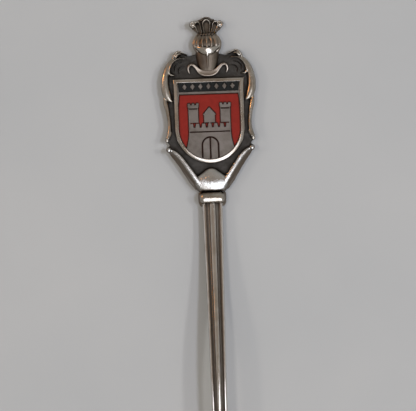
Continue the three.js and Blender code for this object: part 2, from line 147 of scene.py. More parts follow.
def both_sides(bm):
    """Copies everything to the left side."""
    copied = bmesh.ops.duplicate(bm, geom=[*bm.verts, *bm.edges, *bm.faces])["geom"]
    corners = [part for part in copied if isinstance(part, bmesh.types.BMVert)]
    bmesh.ops.scale(bm, vec=(-1, 1, 1), verts=corners)


def ball(bm, x, y, z, radius, stretch=(1, 1, 1)):
    made = bmesh.ops.create_uvsphere(bm, u_segments=16, v_segments=10, radius=radius)["verts"]
    bmesh.ops.scale(bm, vec=stretch, verts=made)
    bmesh.ops.translate(bm, vec=(x, y, z), verts=made)


def seated(rows):
    """Stations (x, y, half width, height) of a bar that stands on the plate."""
    return [(x, y, SEAT, half, height) for x, y, half, height in rows]


def mirrored(rows):
    """Stations from the middle to the right, completed to run from left to right."""
    return [(-x, *rest) for x, *rest in reversed(rows[1:])] + rows


# %% [markdown]
# ## Melting bars into a casting
#
# In a real casting the bars run into each other with small fillets. A voxel remesh of overlapping
# bars, followed by a little smoothing, gives just that. The modifier is meant for voxels of a
# ten-thousandth of a unit and up. In metres that is a tenth of a millimetre, too coarse here, so the bars
# are melted while a millimetre is still the unit, and blown up ten times to be well clear of that limit.

# %% Cast and finish a piece
BLOW_UP = 10


def cast(bm, voxel=0.07, smooth=2):
    bmesh.ops.recalc_face_normals(bm, faces=bm.faces)
    bmesh.ops.scale(bm, vec=(BLOW_UP,) * 3, verts=bm.verts)
    mesh = bpy.data.meshes.new("pattern")
    bm.to_mesh(mesh)
    bm.free()
    pattern = bpy.data.objects.new("pattern", mesh)
    bpy.context.scene.collection.objects.link(pattern)
    melt = pattern.modifiers.new("melt", "REMESH")
    melt.mode = "VOXEL"
    melt.voxel_size = voxel * BLOW_UP
    melted = pattern.evaluated_get(bpy.context.evaluated_depsgraph_get()).to_mesh()
    bm = bmesh.new()
    bm.from_mesh(melted)
    bpy.data.objects.remove(pattern)
    bpy.data.meshes.remove(mesh)
    bmesh.ops.scale(bm, vec=(1 / BLOW_UP,) * 3, verts=bm.verts)
    for _ in range(smooth):
        bmesh.ops.smooth_vert(
            bm, verts=bm.verts, factor=0.5, use_axis_x=True, use_axis_y=True, use_axis_z=True
        )
    return bm


def piece(name, bm, material, slot, *nodes, origin=FINIAL, sharp=40):
    """A finished piece: placed in metres, shaded smooth up to an angle, riding on the spoon."""
    bmesh.ops.remove_doubles(bm, verts=bm.verts, dist=1e-5)
    bmesh.ops.recalc_face_normals(bm, faces=bm.faces)
    if bm.calc_volume(signed=True) < 0:
        bmesh.ops.reverse_faces(bm, faces=bm.faces)
    bmesh.ops.transform(bm, matrix=Matrix.Translation(origin) @ Matrix.Scale(MM, 4), verts=bm.verts)
    mesh = bpy.data.meshes.new(name)
    bm.to_mesh(mesh)
    bm.free()
    mesh.shade_smooth()
    mesh.set_sharp_from_angle(angle=math.radians(sharp))
    mesh.materials.append(material)
    made = bpy.data.objects.new(name, mesh)
    bpy.context.scene.collection.objects.link(made)
    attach(made, "root")
    if nodes:
        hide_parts(*nodes)
    print(f"{name}: {len(mesh.polygons)} faces")
    return made


# %% [markdown]
# ## Materials: one helper
#
# Every finish is a node tree on a Principled shader. One small function adds a node, sets it and
# wires it. Colours are given as the sRGB hex values that a painter's chart would give, and turned to
# linear light once.

# %% Node helper and colour helper
def linear(hex_code):
    parts = [int(hex_code[i:i + 2], 16) / 255 for i in (1, 3, 5)]
    return [part / 12.92 if part <= 0.04045 else ((part + 0.055) / 1.055) ** 2.4 for part in parts] + [1.0]


def add(tree, kind, links=None, **settings):
    """A node of a kind. links maps an input's name or number to a value or to another output."""
    made = tree.nodes.new("ShaderNode" + kind)
    for key, value in settings.items():
        setattr(made, key, value)
    for key, value in (links or {}).items():
        if isinstance(value, bpy.types.NodeSocket):
            tree.links.new(value, made.inputs[key])
        else:
            made.inputs[key].default_value = value
    return made


def fresh_material(name):
    material = bpy.data.materials.new(name)
    material.use_nodes = True
    tree = material.node_tree
    return material, tree, tree.nodes["Principled BSDF"]


def ramp(tree, factor, stops):
    """A colour ramp through (position, hex colour or grey value) stops."""
    made = add(tree, "ValToRGB", {0: factor})
    band = made.color_ramp
    while len(band.elements) < len(stops):
        band.elements.new(1.0)
    for element, (position, colour) in zip(band.elements, stops):
        element.position = position
        element.color = linear(colour) if isinstance(colour, str) else (colour, colour, colour, 1)
    return made.outputs["Color"]


# %% [markdown]
# ## Silver plate
#
# Polished silver plate is a mirror with years of handling on it: fine random scratches, soft
# grey-brown tarnish in patches, and black oxide left in every hollow by the maker's "antique" finish,
# which was dipped dark and then wiped back. Ambient occlusion finds the hollows, since that is where
# a polishing cloth can't reach. The steep sides are darkened towards brown as painted shade, which
# keeps them from reflecting the bright floor and room. The scratches run along the spoon. They are two
# noises, stretched forty and thirty-three to one, which makes each scratch about 0.1 mm wide and 3 mm
# long: coarser than real ones, so that they show.

# %% Numbers that every silver finish shares
PER_MM = 1 / MM  # noise scales are in cells per metre
PATCHES = 0.35 * PER_MM  # patches of tarnish, 3 mm across
GRIME = 3.0 * PER_MM  # crumbs of oxide, 0.3 mm across
DENTS = 1.1 * PER_MM  # soft dents, 0.9 mm across
BLOOM = (0.42, 0.68)  # the range of the patches' noise over which tarnish blooms
SCRATCHES = ((35, 0.025, 14 * PER_MM), (-62, 0.03, 10 * PER_MM))  # turn of the noise, squeeze along y, scale
SCRATCH_DEPTH, DENT_DEPTH = 0.02 * MM, 0.1 * MM
COMB_LINES, COMB_DEPTH = 26.0, 6.0  # lines per radian, and how many times a scratch's depth
# The first colour on the next line is painted shade: the brown that steep sides are mixed towards, so that
# they reflect less.
PAINTED_SIDE_SHADE, BARE_METAL = linear("#6A5D50"), linear("#B9B0A4")
OXIDE_ROUGHNESS = 0.55
HAZE = (-0.05, 0.1)  # what the patches take from the roughness or add to it


# %% Silver plate
def silver_plate(
    name, clean, tarnish, reach, hollows, roughness, oxide="#2A2624", scratch=0.06, shaded_slopes=None, combed=None,
    bare_back=False, hammer=0.12,
):
    """reach is how far the cloth misses, in mm; hollows is the occlusion range that stays black.
    shaded_slopes is the range of upwardness over which the painted shade on the steep sides gives way to the
    clean metal.
    combed is the y, in mm from the shield's middle, of the point that fine polishing lines run out from.
    bare_back leaves the underside undipped; scratch and hammer are the strengths of scratches and dents."""
    material, tree, shader = fresh_material(name)
    coords = add(tree, "TexCoord")
    where = coords.outputs["Object"]
    open_air = add(tree, "AmbientOcclusion", {"Distance": reach * MM}, samples=12).outputs["AO"]
    cloud = add(tree, "TexNoise", {"Vector": where, "Scale": PATCHES, "Detail": 5.0, "Roughness": 0.6})
    patches = cloud.outputs["Fac"]
    grime = add(tree, "TexNoise", {"Vector": where, "Scale": GRIME, "Detail": 3.0, "Roughness": 0.7})
    wobble = add(tree, "Math", {0: grime.outputs["Fac"], 1: 0.25}, operation="MULTIPLY").outputs[0]
    wiped = add(tree, "Math", {0: open_air, 1: wobble}, operation="SUBTRACT").outputs[0]
    clean_mask = add(
        tree, "MapRange", {"Value": wiped, "From Min": hollows[0], "From Max": hollows[1]},
        interpolation_type="SMOOTHSTEP",
    ).outputs["Result"]
    bloom = add(
        tree, "MapRange", {"Value": patches, "From Min": BLOOM[0], "From Max": BLOOM[1]}
    ).outputs["Result"]
    surface = add(tree, "Mix", {0: bloom, 6: linear(clean), 7: linear(tarnish)}, data_type="RGBA").outputs[2]
    facing = add(tree, "SeparateXYZ", {0: coords.outputs["Normal"]}).outputs["Z"]
    # Painted shade: the steeper a side, the more its colour is mixed towards the brown, so that it reflects
    # less of the bright room.
    if shaded_slopes:
        top = add(
            tree, "MapRange", {"Value": facing, "From Min": shaded_slopes[0], "From Max": shaded_slopes[1]}
        ).outputs["Result"]
        surface = add(tree, "Mix", {0: top, 6: PAINTED_SIDE_SHADE, 7: surface}, data_type="RGBA").outputs[2]
    if bare_back:
        back = add(tree, "MapRange", {"Value": facing, "From Min": 0.1, "From Max": -0.4}).outputs["Result"]
        surface = add(tree, "Mix", {0: back, 6: surface, 7: BARE_METAL}, data_type="RGBA").outputs[2]
    colour = add(tree, "Mix", {0: clean_mask, 6: linear(oxide), 7: surface}, data_type="RGBA").outputs[2]
    ruled = []
    for turn, squeeze, scale in SCRATCHES:
        turned = add(tree, "Mapping", {
            "Vector": where, "Rotation": (0, 0, math.radians(turn)), "Scale": (1, squeeze, 1),
        }).outputs[0]
        ruled.append(add(tree, "TexNoise", {"Vector": turned, "Scale": scale, "Detail": 2.0}).outputs["Fac"])
    relief = add(tree, "Math", {0: ruled[0], 1: ruled[1]}, operation="ADD").outputs[0]
    if combed is not None:
        centred = add(tree, "Mapping", {
            "Vector": where, "Location": (0, FINIAL.y + combed * MM, 0), "Scale": (1, -1, 1),
        }).outputs[0]
        axes = add(tree, "SeparateXYZ", {0: centred})
        angle = add(
            tree, "Math", {0: axes.outputs["X"], 1: axes.outputs["Y"]}, operation="ARCTAN2"
        ).outputs[0]
        fan = add(tree, "CombineXYZ", {"X": angle, "Y": axes.outputs["Z"]}).outputs[0]
        comb = add(tree, "TexNoise", {"Vector": fan, "Scale": COMB_LINES, "Detail": 3.0, "Roughness": 0.7})
        deep = add(tree, "Math", {0: comb.outputs["Fac"], 1: COMB_DEPTH}, operation="MULTIPLY").outputs[0]
        relief = add(tree, "Math", {0: relief, 1: deep}, operation="ADD").outputs[0]
    dents = add(tree, "TexNoise", {"Vector": where, "Scale": DENTS, "Detail": 2.0}).outputs["Fac"]
    fine = add(tree, "Bump", {"Height": relief, "Strength": scratch, "Distance": SCRATCH_DEPTH}).outputs[0]
    soft = add(tree, "Bump", {"Height": dents, "Strength": hammer, "Distance": DENT_DEPTH, "Normal": fine})
    dull = add(tree, "MapRange", {"Value": clean_mask, "To Min": OXIDE_ROUGHNESS, "To Max": roughness})
    haze = add(tree, "MapRange", {"Value": patches, "To Min": HAZE[0], "To Max": HAZE[1]})
    rough = add(
        tree, "Math", {0: dull.outputs["Result"], 1: haze.outputs["Result"]}, operation="ADD"
    ).outputs[0]
    shader.inputs["Metallic"].default_value = 1.0
    tree.links.new(colour, shader.inputs["Base Color"])
    tree.links.new(rough, shader.inputs["Roughness"])
    tree.links.new(soft.outputs[0], shader.inputs["Normal"])
    return material


# %% [markdown]
# Each part of the spoon has a tone and a gloss of its own, so each kind of finish is one material.

# %% Silver finishes
# Cast and wiped: satin tops, and steep sides darkened brown by painted shade.
cast_silver = silver_plate(
    "cast_silver_plate", "#CFC8BD", "#A39684", 0.5, (0.1, 0.55), roughness=0.26, shaded_slopes=(0.25, 0.75)
)
# A darker, browner copy of the cast silver: painted shade that keeps the ribbon and the helmet's bars dim.
shaded_brown_silver = silver_plate(
    "shaded_brown_silver_plate", "#B9ADA0", "#96897A", 0.4, (0.1, 0.6), roughness=0.28, shaded_slopes=(0.1, 0.7)
)
# Worn: uneven, and darkened brown towards its sides by painted shade.
collar_silver = silver_plate(
    "worn_silver_plate", "#CFC8BD", "#A39684", 0.5, (0.1, 0.55), roughness=0.24, shaded_slopes=(0.3, 0.85),
    hammer=0.4
)
# Brushed outwards from one point: white, with fine rays that break up its highlight, and painted shade on its
# steep sides.
calyx_silver = silver_plate(
    "combed_silver_plate", "#E4E2DF", "#C8C1B8", 0.4, (0.15, 0.6), roughness=0.2, scratch=0.5,
    shaded_slopes=(0.58, 0.9), combed=-7.5, hammer=0.35
)
# Burnished: clean, with long smooth highlights, and painted shade on its steep sides.
rim_silver = silver_plate(
    "burnished_silver_rim", "#D8D0C6", "#B6A898", 0.25, (0.1, 0.5), roughness=0.2, shaded_slopes=(-0.1, 0.5)
)
# Fluted: the ribs are mirrors, the flutes between them keep a brown oxide, and painted shade darkens the
# steep sides.
stem_silver = silver_plate(
    "fluted_silver_plate", "#EAE5DE", "#D0C6BA", 0.9, (0.5, 0.85), oxide="#7D746A", roughness=0.15,
    shaded_slopes=(-0.1, 0.5)
)
# Polished: a mirror with a faint warm haze.
bowl_silver = silver_plate(
    "polished_silver_plate", "#DEDAD2", "#C3B8A6", 0.5, (0.1, 0.5), roughness=0.12, scratch=0.05
)
# Dull dark brown: mostly painted shade, where the helmet, the feathers and the collar's foot lie in shade,
# and partly the oxide of their hollows.
shade_dark_silver = silver_plate("painted_shade_silver", "#83786B", "#655B51", 0.5, (0.2, 0.8), roughness=0.42, scratch=0.1)
# Stamped, and stoned flat with the enamel: grey and scratched.
badge_silver = silver_plate(
    "stamped_silver", "#98918A", "#7A726A", 0.25, (0.3, 0.7), roughness=0.34, scratch=0.35, hammer=0.2
)
# Oxidised: nearly black and mottled on the face, and bare metal underneath.
oxidised = silver_plate(
    "oxidised_silver", "#56534F", "#43403C", 0.6, (0.1, 0.8), roughness=0.4, scratch=0.3, bare_back=True,
    hammer=0.6
)
print("silver finishes:", [m.name for m in bpy.data.materials])

# %% [markdown]
# ## Fired enamel
#
# Enamel is coloured glass melted into its cell and stoned flush, so it is glossy and very slightly
# wavy. Along the cell's wall its colour is darkened as painted shade. The Bevel node rounds the
# normal near an edge; where the rounded normal leaves the true one, the colour goes dark. A few pits
# show its age.

# %% Enamel
CLOUDS, PITS, WAVES = 1.6 * PER_MM, 1.3 * PER_MM, 0.8 * PER_MM  # 0.6, 0.8 and 1.3 mm from one to the next


def fired_enamel(name, colour, wall_shade_colour, edge):
    """edge is how far the painted shade reaches in from the cell's wall, in mm."""
    material, tree, shader = fresh_material(name)
    where = add(tree, "TexCoord").outputs["Object"]
    true_normal = add(tree, "NewGeometry").outputs["Normal"]
    # Painted shade: the colour goes dark near the cell's wall.
    rounded = add(tree, "Bevel", {"Radius": edge * MM}, samples=8).outputs[0]
    agree = add(tree, "VectorMath", {0: rounded, 1: true_normal}, operation="DOT_PRODUCT").outputs["Value"]
    inside = add(tree, "MapRange", {"Value": agree, "From Min": 0.95, "From Max": 0.995}).outputs["Result"]
    cloud = add(tree, "TexNoise", {"Vector": where, "Scale": CLOUDS, "Detail": 4.0}).outputs["Fac"]
    tone = add(tree, "MapRange", {"Value": cloud, "To Min": 0.75, "To Max": 1.2}).outputs["Result"]
    body = add(
        tree, "Mix", {0: 1.0, 6: linear(colour), 7: tone}, data_type="RGBA", blend_type="MULTIPLY"
    ).outputs[2]
    shaded = add(tree, "Mix", {0: inside, 6: linear(wall_shade_colour), 7: body}, data_type="RGBA").outputs[2]
    pits = add(tree, "TexVoronoi", {"Vector": where, "Scale": PITS}).outputs["Distance"]
    pit = add(tree, "MapRange", {"Value": pits, "From Min": 0.03, "From Max": 0.09}).outputs["Result"]
    wave = add(tree, "TexNoise", {"Vector": where, "Scale": WAVES, "Detail": 1.0}).outputs["Fac"]
    height = add(tree, "Math", {0: pit, 1: wave}, operation="ADD").outputs[0]
    bump = add(tree, "Bump", {"Height": height, "Strength": 0.15, "Distance": 0.05 * MM})
    tree.links.new(shaded, shader.inputs["Base Color"])
    tree.links.new(bump.outputs[0], shader.inputs["Normal"])
    shader.inputs["Roughness"].default_value = 0.16
    shader.inputs["IOR"].default_value = 1.52
    return material


ENAMELS = {
    # Red in the open, darkened nearly to black along its walls by painted shade.
    "red_enamel": fired_enamel("red_enamel", "#902720", "#1A0806", edge=0.52),
    # Black at first sight, with a cold tinge in the light, and painted shade along its walls.
    "blue_black_enamel": fired_enamel("blue_black_enamel", "#1B2022", "#070808", edge=0.25),
    # The castle's thin lines: as good as black, with a warm tinge, and painted shade along their walls.
    "maroon_enamel": fired_enamel("maroon_enamel", "#28120C", "#0E0706", edge=0.06),
}
print("enamels:", sorted(ENAMELS))

# %% [markdown]
# ## The CAD nodes that stay
#
# The plate behind the relief, the stamped shield and every enamel cell already have the right crisp
# shape, so they keep their CAD meshes and only get their finish.

# %% Finish the CAD nodes that stay
slot_of = {part["node"]: part["material_slot"] for part in frame["record"]["subparts"]}
FINISHES = {**ENAMELS, "badge_silver": badge_silver, "blackened_silver": oxidised}
for node_name, node in frame["nodes"].items():
    if slot_of[node_name] in FINISHES:
        node.data.materials.clear()
        node.data.materials.append(FINISHES[slot_of[node_name]])
        print("finished", node_name)

# %% [markdown]
# ## The shield's rim
#
# The stamped shield has a rounded, polished rim that stands above the castle. Its outline is a
# half circle spun from one point, closed over two corners that flare a little. Insetting that face
# leaves a flat ring, extruding the ring raises it, and a bevel along its upper edges rounds it, widely
# outside and only a little inside. At last the rounding is flattened and the top slanted outwards.

# %% Rim of the shield
RIM_WIDTH = 0.66
RIM_FOOT, RIM_TOP = 1.9, 2.55
ARC_Y = -1.6
RIM_ROUND = 0.4
INNER_ROUND = 0.1
RIM_FLAT = 0.6  # how tall the rounding is for its width
RIM_SLANT = 0.17  # how steeply the rim's top falls outwards
OVERHANG = 0.03  # the rim covers the stamped edge under it
FLARE = 0.2


def shield_face(bm, half, top, z):
    start = bm.verts.new((half, ARC_Y, z))
    around = bmesh.ops.spin(
        bm, geom=[start], cent=(0, ARC_Y, z), axis=(0, 0, 1), angle=-math.pi, steps=48, use_duplicate=False
    )
    end = around["geom_last"][0]
    tops = []
    for foot, side in ((start, 1), (end, -1)):
        for x, y in ((half, 4.8), (half + 0.04, 6.1), (half + FLARE, top + 0.02)):
            foot = bmesh.ops.extrude_vert_indiv(bm, verts=[foot])["verts"][0]
            foot.co = (side * x, y, z)
        tops.append(foot)
    bm.edges.new(tops)
    face = bmesh.ops.contextual_create(bm, geom=bm.edges[:])["faces"][0]
    bm.normal_update()
    return face


def reach(spot):
    """How far a point is outside the stamped shield's outline; inside it is below zero."""
    return max(Vector((spot.x, min(spot.y - ARC_Y, 0))).length - SHIELD_HALF, spot.y - SHIELD_TOP)


def shield_rim():
    bm = bmesh.new()
    face = shield_face(bm, SHIELD_HALF + OVERHANG, SHIELD_TOP + OVERHANG, RIM_FOOT)
    bmesh.ops.inset_region(bm, faces=[face], thickness=RIM_WIDTH, use_even_offset=True, use_boundary=True)
    bmesh.ops.delete(bm, geom=[face], context="FACES_ONLY")
    raised = bmesh.ops.extrude_face_region(bm, geom=bm.faces[:], use_keep_orig=True)["geom"]
    top_faces = [part for part in raised if isinstance(part, bmesh.types.BMFace)]
    top_verts = [part for part in raised if isinstance(part, bmesh.types.BMVert)]
    bmesh.ops.translate(bm, vec=(0, 0, RIM_TOP - RIM_FOOT), verts=top_verts)
    upper = [e for e in bm.edges if sum(f in top_faces for f in e.link_faces) == 1]
    outer = [e for e in upper if all(reach(v.co) > -RIM_WIDTH / 2 for v in e.verts)]
    for edges, offset in ((outer, RIM_ROUND), ([e for e in upper if e not in outer], INNER_ROUND)):
        bmesh.ops.bevel(bm, geom=edges, offset=offset, segments=6, profile=0.5, affect="EDGES", material=-1)
    for vert in bm.verts:
        if vert.co.z > RIM_TOP - RIM_ROUND:
            slant = RIM_SLANT * max(reach(vert.co) + RIM_WIDTH, 0)
            vert.co.z = RIM_TOP - (RIM_TOP - vert.co.z) * RIM_FLAT - slant
    return bm


piece("shield_rim", shield_rim(), rim_silver, "silver_plate")

# %% [markdown]
# ## Leaves and scrolls on the edges
#
# Each side of the plate carries a rolled curl at the top, a thin C-scroll round the dark lobe, a broad
# leaf whose point turns inwards, and a narrow leaf that ends in a rolled knob. They touch each other,
# so they are bars melted together. The leaves are nearly flat on top, so their sections are squarer.

# %% Side frames
FRAME_LINES = {
    "curl": [
        (3.5, 11.35, 0.08, 0.7), (4.2, 11.7, 0.13, 0.85), (4.85, 11.98, 0.2, 1.0), (5.35, 11.85, 0.26, 1.05),
        (5.75, 11.4, 0.26, 1.0), (6.05, 10.8, 0.26, 0.9),
    ],
    "rolled end": [
        (4.55, 11.5, 0.12, 0.75), (4.95, 11.55, 0.24, 0.95), (5.3, 11.35, 0.3, 1.0),
        (5.65, 10.95, 0.26, 0.85),
    ],
    "scroll": [
        (3.8, 10.68, 0.07, 0.6), (4.5, 10.78, 0.12, 0.8), (5.2, 10.72, 0.15, 0.95), (5.85, 10.35, 0.17, 1.0),
        (6.4, 9.7, 0.2, 1.0), (6.72, 8.9, 0.24, 1.0), (6.75, 8.3, 0.28, 0.95), (6.5, 7.95, 0.24, 0.9),
        (6.1, 7.88, 0.17, 0.85), (5.75, 7.9, 0.1, 0.7),
    ],
    "knob edge": [
        (6.72, -2.1, 0.08, 1.05), (6.9, -2.7, 0.12, 1.25), (7.25, -3.15, 0.16, 1.35), (7.7, -3.3, 0.14, 1.25),
    ],
}
LEAF_LINES = {
    "upper leaf": [
        (5.5, 10.98, 0.2, 0.5), (6.34, 10.25, 0.42, 0.8), (7.0, 9.25, 0.52, 0.95), (7.44, 8.0, 0.6, 1.05),
        (7.6, 6.6, 0.72, 1.1), (7.5, 5.3, 0.78, 1.1), (7.22, 4.35, 0.74, 1.05), (6.85, 3.66, 0.48, 0.95),
        (6.4, 3.26, 0.16, 0.75),
    ],
    "lower leaf": [
        (7.85, 4.0, 0.14, 0.7), (7.58, 2.9, 0.42, 0.8), (7.33, 1.8, 0.4, 0.82), (7.17, 0.8, 0.35, 0.82),
        (7.04, -0.4, 0.33, 0.85), (7.05, -1.6, 0.38, 0.95), (7.2, -2.5, 0.44, 1.05), (7.45, -3.1, 0.4, 1.1),
        (7.6, -3.6, 0.24, 1.0),
    ],
}
for side, name in ((-1, "left"), (1, "right")):
    frame_side = bmesh.new()
    for lines, squareness in ((FRAME_LINES, 1.0), (LEAF_LINES, 0.6)):
        for rows in lines.values():
            bar(frame_side, seated([(side * x, *rest) for x, *rest in rows]), sides=18, squareness=squareness)
    ball(frame_side, side * 7.55, -3.5, SEAT + 0.75, 0.38)
    piece(f"leaf_frame_{name}", cast(frame_side), cast_silver, "silver_plate", f"scroll_frame_{name}")

# %% [markdown]
# ## Veins in the dark lobes
#
# Inside each C-scroll the plate carries two low curved lines, which stay black.

# %% Lobe veins
veins = bmesh.new()
for rows in (
    [(4.5, 10.1, 0.08, 0.12), (5.3, 9.9, 0.1, 0.18), (5.85, 9.3, 0.1, 0.18), (5.85, 8.6, 0.08, 0.12)],
    [(4.1, 9.5, 0.08, 0.12), (4.8, 9.3, 0.1, 0.18), (5.2, 8.8, 0.1, 0.18), (5.1, 8.2, 0.08, 0.12)],
):
    bar(veins, [(x, y, SEAT - 0.06, half, height) for x, y, half, height in rows], sides=10)
both_sides(veins)
piece("lobe_veins", veins, oxidised, "blackened_silver")

# %% [markdown]
# ## The ribbon
#
# The ribbon sags under the helmet in a broad crescent and curls over at both ends. It is one bar from
# end to end with a flat top, wide and low in the middle, narrow and tall in the curls.

# %% Ribbon
RIBBON_SECTION = [
    (-1, 0), (-1, 0.75), (-0.93, 0.93), (-0.78, 1.0), (0, 0.98), (0.78, 1.0), (0.93, 0.93), (1, 0.75), (1, 0),
]
ribbon = bmesh.new()
half_ribbon = [
    (0, 8.08, 0.56, 0.62), (0.8, 8.15, 0.54, 0.64), (1.45, 8.45, 0.42, 0.7), (1.95, 8.98, 0.28, 0.85),
    (2.5, 9.5, 0.22, 1.0), (3.0, 9.6, 0.17, 1.0), (3.38, 9.2, 0.16, 0.95), (3.42, 8.65, 0.14, 0.85),
    (3.2, 8.15, 0.1, 0.65),
]
bar(ribbon, seated(mirrored(half_ribbon)), section=RIBBON_SECTION)
# The ribbon takes the darker copy of the silver, as painted shade.
piece("ribbon", cast(ribbon, 0.06, 1), shaded_brown_silver, "silver_plate", "mantling_ribbon")

# %% [markdown]
# ## The helmet
#
# A barred helm is a dark ball behind bright bars. The bars widen towards both ends until they run
# together, so that the gaps between them are lens-shaped slots, and below them a smooth bright visor
# comes to a point over the neck. The core, the bars and the visor are separate pieces, because each
# has a tone of its own: the core is dark brown with painted shade, the bars are a browner copy of the
# silver, painted shade as well, and the visor is bright.

# %% Helmet
HELM = Vector((2.3, 1.75, 1.7))
HELM_Y = 13.2
BARS = {-80: 0.3, -63: 0.32, -44: 0.3, -21: 0.17, 0: 0.17, 21: 0.17, 44: 0.3, 63: 0.32, 80: 0.3}


def on_helm(turn, rise):
    """The point of the helm at a turn to the right and a rise from its middle, in degrees."""
    a, b = math.radians(turn), math.radians(rise)
    across = math.cos(b) * math.sin(a)
    return HELM.x * across, HELM_Y + HELM.y * math.sin(b), SEAT + HELM.z * math.cos(b) * math.cos(a)


def trimmed(bm):
    """Cuts off what is deeper than a tenth of a millimetre in the plate and closes the cut."""
    everything = [*bm.verts, *bm.edges, *bm.faces]
    bmesh.ops.bisect_plane(
        bm, geom=everything, plane_co=(0, 0, SEAT - 0.1), plane_no=(0, 0, -1), clear_outer=True
    )
    bmesh.ops.holes_fill(bm, edges=[e for e in bm.edges if e.is_boundary])
    return bm


core = bmesh.new()
ball(core, 0, HELM_Y, SEAT, 1, HELM)
bar(core, seated([
    (0, 12.4, 2.0, 1.35), (0, 11.4, 2.02, 1.25), (0, 10.4, 1.9, 1.1), (0, 9.4, 1.7, 0.95),
    (0, 8.5, 1.45, 0.8),
]), sides=28)
bar(core, seated([(0, 11.6, 0.6, 1.52), (0, 10.8, 0.52, 1.3), (0, 9.6, 0.42, 1.08), (0, 8.5, 0.3, 0.85)]))
piece("helmet_core", trimmed(cast(core, 0.08, 3)), shade_dark_silver, "silver_plate", "helmet")

bars = bmesh.new()
for turn, slim in BARS.items():  # slim is half the width in the middle of the bar
    rows = []
    for rise in range(-50, 51, 10):
        width = slim + 0.15 * (rise / 50) ** 2
        rows.append((*on_helm(turn, rise), width, min(width, 0.2)))
    bar(bars, rows, sides=12, steps=2, foot=False)
ball(bars, 0, HELM_Y + 0.62, SEAT, 1, (2.0, 1.02, 1.5))
piece("helmet_bars", trimmed(cast(bars, 0.05, 2)), shaded_brown_silver, "silver_plate")

VISOR_SECTION = [
    (-1, 0), (-1, 0.9), (-0.9, 0.98), (-0.7, 1.0), (-0.3, 0.97), (0.1, 0.92), (0.5, 0.84), (0.8, 0.74),
    (0.95, 0.62),
    (1, 0.45), (1, 0),
]
visor = bmesh.new()
bar(visor, seated(mirrored([
    (0, 11.8, 0.7, 2.05), (0.5, 11.86, 0.68, 2.0), (1.0, 12.05, 0.58, 1.9), (1.5, 12.3, 0.42, 1.68),
    (1.95, 12.62, 0.28, 1.36), (2.28, 13.05, 0.14, 0.95),
])), section=VISOR_SECTION)
bar(visor, seated([
    (0, 12.1, 0.9, 1.95), (0, 11.6, 0.72, 1.85), (0, 11.2, 0.42, 1.7), (0, 10.85, 0.12, 1.5),
]), sides=24, squareness=0.6)
piece("helmet_visor", cast(visor, 0.05, 2), rim_silver, "silver_plate")

# %% [markdown]
# ## The feathers
#
# Five feathers fan out over the helm. Three show a bright rolled rim round a dark hollow, and the
# outer two curl over into knobs. A dark brown piece holds the hollows, the crest above the middle
# feather, and the wreath of seven slanted beads that the feathers grow from; its darkness is painted
# shade. The bright rims are a second piece.

# %% Feathers
fan = bmesh.new()
for i in range(-3, 4):
    x, z = i * 0.5, SEAT + 1.15 - 0.05 * i * i
    bead = [
        (x - 0.24, 14.6, z - 0.1, 0.12, 0.14), (x, 14.85, z, 0.18, 0.22),
        (x + 0.24, 15.1, z - 0.1, 0.12, 0.14),
    ]
    bar(fan, bead, foot=False)
bar(fan, seated(mirrored([(0, 17.72, 0.26, 1.1), (0.55, 17.55, 0.28, 1.05), (0.95, 17.15, 0.24, 0.9)])))
bar(fan, seated([
    (0, 14.7, 1.6, 0.9), (0, 15.2, 1.7, 0.85), (0, 15.8, 2.5, 0.75), (0, 16.5, 2.65, 0.7),
    (0, 17.1, 2.1, 0.65),
    (0, 17.6, 1.0, 0.6),
]), sides=24, squareness=0.6)
piece("feather_hollows", cast(fan, 0.06, 2), shade_dark_silver, "silver_plate", "plume")

rims = bmesh.new()
middle = [
    (0, 17.36, 0.27, 1.45), (0.4, 17.18, 0.26, 1.4), (0.62, 16.78, 0.21, 1.3), (0.57, 16.1, 0.18, 1.2),
    (0.42, 15.1, 0.15, 1.1),
]
bar(rims, seated(mirrored(middle)))
for rows in (
    [
        (0.78, 15.1, 0.13, 1.0), (1.0, 16.0, 0.16, 1.1), (1.14, 16.65, 0.2, 1.2), (1.46, 17.02, 0.24, 1.3),
        (1.9, 16.9, 0.24, 1.25), (2.02, 16.45, 0.19, 1.15), (1.76, 15.85, 0.16, 1.0),
        (1.45, 15.2, 0.13, 0.85),
    ],
    [
        (1.95, 16.92, 0.2, 1.25), (2.35, 17.04, 0.26, 1.25), (2.7, 16.8, 0.26, 1.2), (2.72, 16.4, 0.24, 1.1),
        (2.4, 16.14, 0.22, 1.05), (2.08, 16.28, 0.2, 1.1),
    ],
):
    bar(rims, seated(rows))
    bar(rims, seated([(-x, *rest) for x, *rest in rows]))
for side in (-1, 1):
    ball(rims, side * 2.36, 16.58, SEAT + 0.5, 0.5)
piece("feather_rims", cast(rims, 0.05, 1), cast_silver, "silver_plate")

# %% [markdown]
# ## The calyx
#
# At the foot a leaf with two arms cradles the plate. Its top is a smooth cup that rolls over towards
# the collar, and each arm has a nearly flat top, a ridge, and a long outer slope, so the arms get a
# section of their own. Everything is melted together and smoothed more than the rest.

# %% Calyx
ARM_SECTION = [
    (-1, 0), (-1, 0.84), (-0.96, 0.93), (-0.88, 0.98), (-0.7, 1.0), (-0.45, 0.99), (-0.2, 0.95), (0, 0.87),
    (0.12, 0.76), (0.25, 0.62), (0.45, 0.44), (0.7, 0.27), (0.9, 0.14), (1, 0.06), (1, 0),
]
calyx = bmesh.new()
bar(calyx, seated([
    (2.2, -11.9, 0.8, 1.35), (3.19, -10.48, 0.88, 1.52), (3.75, -9.6, 0.85, 1.58), (4.36, -8.69, 0.82, 1.6),
    (4.99, -7.73, 0.77, 1.55), (5.77, -6.68, 0.75, 1.5), (6.36, -6.03, 0.66, 1.45), (6.8, -5.62, 0.52, 1.35),
    (7.15, -5.36, 0.38, 1.25), (7.4, -5.2, 0.28, 1.15),
]), section=ARM_SECTION)
ball(calyx, 7.28, -5.15, SEAT + 1.05, 0.52)
both_sides(calyx)
